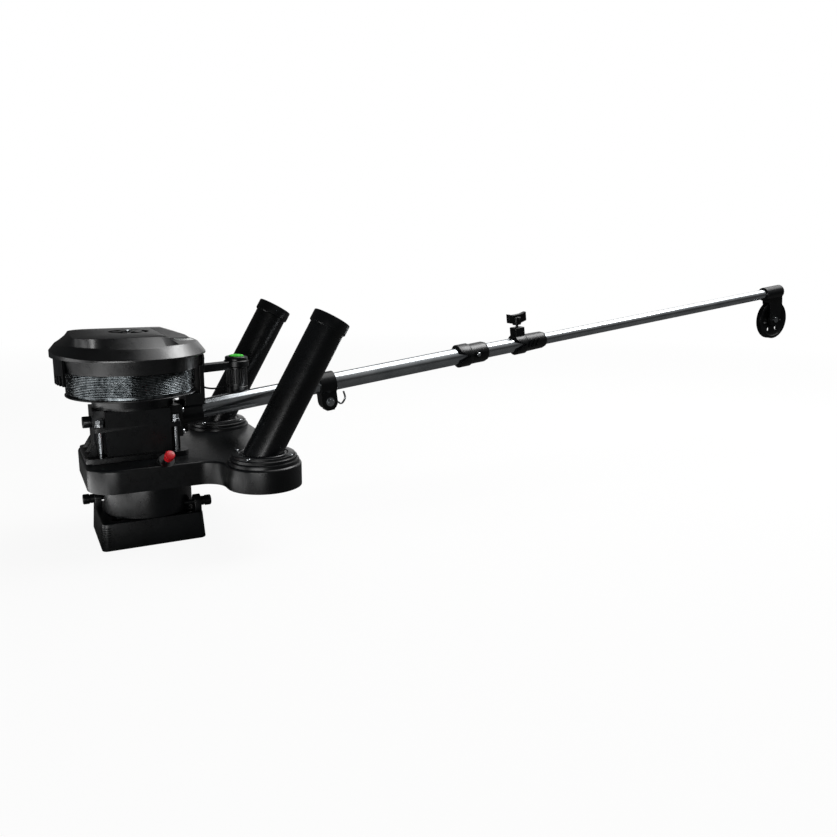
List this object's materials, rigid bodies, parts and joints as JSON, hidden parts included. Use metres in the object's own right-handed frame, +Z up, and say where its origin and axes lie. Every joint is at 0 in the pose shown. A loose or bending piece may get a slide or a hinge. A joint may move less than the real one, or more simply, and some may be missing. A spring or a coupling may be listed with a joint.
{
  "type": "electric downrigger",
  "caption": "Powered trolling reel on a swivelling turntable with rod holders and a telescopic boom ending in a hanging sheave.",
  "frame": {"origin": "under the deck bracket, on the swivel axis", "axes": "+Z up along the swivel axis, +X along the boom, +Y to the far rod holder"},
  "size_m": [1.6694, 0.412, 0.396],
  "materials": {
    "black_nylon": "moulded glass-filled nylon, satin",
    "black_tube": "extruded tube, semi-gloss",
    "polished_stainless": "polished stainless steel",
    "zinc_steel": "zinc-plated steel",
    "brass": "machined brass",
    "white_acetal": "white acetal",
    "clear_pane": "clear plastic pane",
    "red_plastic": "red moulded plastic",
    "green_rubber": "green rubber",
    "black_rubber": "black rubber sleeve",
    "line_steel": "stranded stainless line",
    "cork_brown": "brake lining"
  },
  "bodies": {
    "mount": {"deck_bracket": "black_nylon", "swivel_base": "black_nylon", "swivel_bolt": "zinc_steel"},
    "latch_right": {"latch_pin_right": "black_nylon"},
    "latch_left": {"latch_pin_left": "black_nylon"},
    "turret": {"base_plate": "black_nylon", "swivel_nut": "zinc_steel", "plunger_housing": "black_nylon", "plunger_spring": "polished_stainless", "reel_frame": "black_nylon", "tie_bolt_1": "polished_stainless", "tie_bolt_2": "polished_stainless", "tie_bolt_3": "polished_stainless", "tie_bolt_4": "polished_stainless", "motor_can": "zinc_steel", "motor_end_cap": "black_nylon", "gear_case": "black_nylon", "lower_bearing": "zinc_steel", "upper_bearing": "zinc_steel", "top_cover": "black_nylon", "counter_window": "clear_pane", "counter_cradle": "black_nylon", "spool_guard": "black_nylon", "cover_post": "black_nylon", "power_inlet": "black_nylon", "boom_socket": "black_nylon", "switch_pod": "black_nylon", "pod_bezel": "black_nylon", "switch_lead": "black_rubber", "holder_ring_near": "black_nylon", "holder_ring_far": "black_nylon", "boom_base_tube": "polished_stainless", "base_collar": "black_nylon", "hook_clamp": "black_nylon", "clamp_bolt": "polished_stainless", "clamp_hook": "polished_stainless"},
    "plunger": {"plunger_pin": "zinc_steel", "pull_knob": "red_plastic"},
    "pinion": {"motor_pinion": "zinc_steel"},
    "spool": {"spool": "black_nylon", "spool_shaft": "zinc_steel", "line_core": "line_steel", "line_wound": "line_steel", "drive_gear": "brass", "brake_disc": "cork_brown"},
    "clutch": {"clutch_knob": "black_nylon"},
    "wheel_units": {"number_wheel_units": "white_acetal"},
    "wheel_tens": {"number_wheel_tens": "white_acetal"},
    "wheel_hundreds": {"number_wheel_hundreds": "white_acetal"},
    "button": {"push_button": "green_rubber"},
    "holder_near": {"rod_holder_near": "black_tube"},
    "holder_far": {"rod_holder_far": "black_tube"},
    "boom_lock": {"lock_button": "polished_stainless"},
    "boom_middle": {"boom_mid_tube": "polished_stainless", "tip_collar": "black_nylon"},
    "boom_screw": {"t_knob": "black_nylon"},
    "boom_tip": {"boom_tip_tube": "polished_stainless"},
    "tip_head": {"tip_bracket": "black_nylon", "sheave_axle": "polished_stainless"},
    "sheave": {"sheave": "black_nylon"}
  },
  "joints": [
    {"name": "turret_swivel", "type": "hinge", "parent": "mount", "child": "turret", "pos_m": [0, 0, 0.12], "axis": [0, 0, 1], "range_deg": [-180, 180]},
    {"name": "latch_right_pull", "type": "slide", "parent": "mount", "child": "latch_right", "axis": [1, 0, 0], "range_m": [0, 0.01], "stiffness_N_per_m": 400},
    {"name": "latch_left_pull", "type": "slide", "parent": "mount", "child": "latch_left", "axis": [-1, 0, 0], "range_m": [0, 0.01], "stiffness_N_per_m": 400},
    {"name": "plunger_pull", "type": "slide", "parent": "turret", "child": "plunger", "axis": [0.1301, -0.7772, 0.6157], "range_m": [-0.006, 0.004], "stiffness_N_per_m": 400, "deforming": ["plunger_spring"]},
    {"name": "spool_spin", "type": "hinge", "parent": "turret", "child": "spool", "pos_m": [-0.015, 0, 0.26], "axis": [0, 0, 1], "continuous": true},
    {"name": "pinion_spin", "type": "hinge", "parent": "turret", "child": "pinion", "pos_m": [-0.051, 0, 0.22], "axis": [0, 0, 1], "continuous": true},
    {"name": "clutch_turn", "type": "hinge", "parent": "spool", "child": "clutch", "pos_m": [-0.015, 0, 0.33], "axis": [0, 0, 1], "range_deg": [-120, 120]},
    {"name": "units_turn", "type": "hinge", "parent": "turret", "child": "wheel_units", "pos_m": [0.071, 0, 0.3035], "axis": [0, 1, 0], "continuous": true},
    {"name": "tens_turn", "type": "hinge", "parent": "turret", "child": "wheel_tens", "pos_m": [0.071, 0, 0.3035], "axis": [0, 1, 0], "continuous": true},
    {"name": "hundreds_turn", "type": "hinge", "parent": "turret", "child": "wheel_hundreds", "pos_m": [0.071, 0, 0.3035], "axis": [0, 1, 0], "continuous": true},
    {"name": "button_press", "type": "slide", "parent": "turret", "child": "button", "axis": [0, 0, -1], "range_m": [0, 0.003], "stiffness_N_per_m": 600},
    {"name": "holder_near_turn", "type": "hinge", "parent": "turret", "child": "holder_near", "pos_m": [0.155, -0.147, 0.15], "axis": [0, 0, 1], "range_deg": [-105, 105]},
    {"name": "holder_far_turn", "type": "hinge", "parent": "turret", "child": "holder_far", "pos_m": [0.155, 0.147, 0.15], "axis": [0, 0, 1], "range_deg": [-45, 105]},
    {"name": "lock_press", "type": "slide", "parent": "turret", "child": "boom_lock", "axis": [0, 1, 0], "range_m": [0, 0.0025], "stiffness_N_per_m": 300},
    {"name": "middle_slide", "type": "slide", "parent": "turret", "child": "boom_middle", "axis": [0.9922, 0, 0.1246], "range_m": [-0.06, 0]},
    {"name": "screw_turn", "type": "hinge", "parent": "boom_middle", "child": "boom_screw", "pos_m": [0.73105, 0, 0.32308], "axis": [-0.1246, 0, 0.9922], "range_deg": [-180, 180]},
    {"name": "tip_slide", "type": "slide", "parent": "boom_middle", "child": "boom_tip", "axis": [0.9922, 0, 0.1246], "range_m": [-0.52, 0]},
    {"name": "head_swivel", "type": "hinge", "parent": "boom_tip", "child": "tip_head", "pos_m": [1.48257, 0, 0.37717], "axis": [0.9922, 0, 0.1246], "range_deg": [-90, 90]},
    {"name": "sheave_spin", "type": "hinge", "parent": "tip_head", "child": "sheave", "pos_m": [1.49079, 0, 0.31168], "axis": [0, 1, 0], "continuous": true}
  ],
  "couplings": [
    {"joint": "pinion_spin", "follows": "spool_spin", "ratio": -3},
    {"joint": "units_turn", "follows": "spool_spin", "ratio": 0.2},
    {"joint": "tens_turn", "follows": "spool_spin", "ratio": 0.02},
    {"joint": "hundreds_turn", "follows": "spool_spin", "ratio": 0.002}
  ]
}
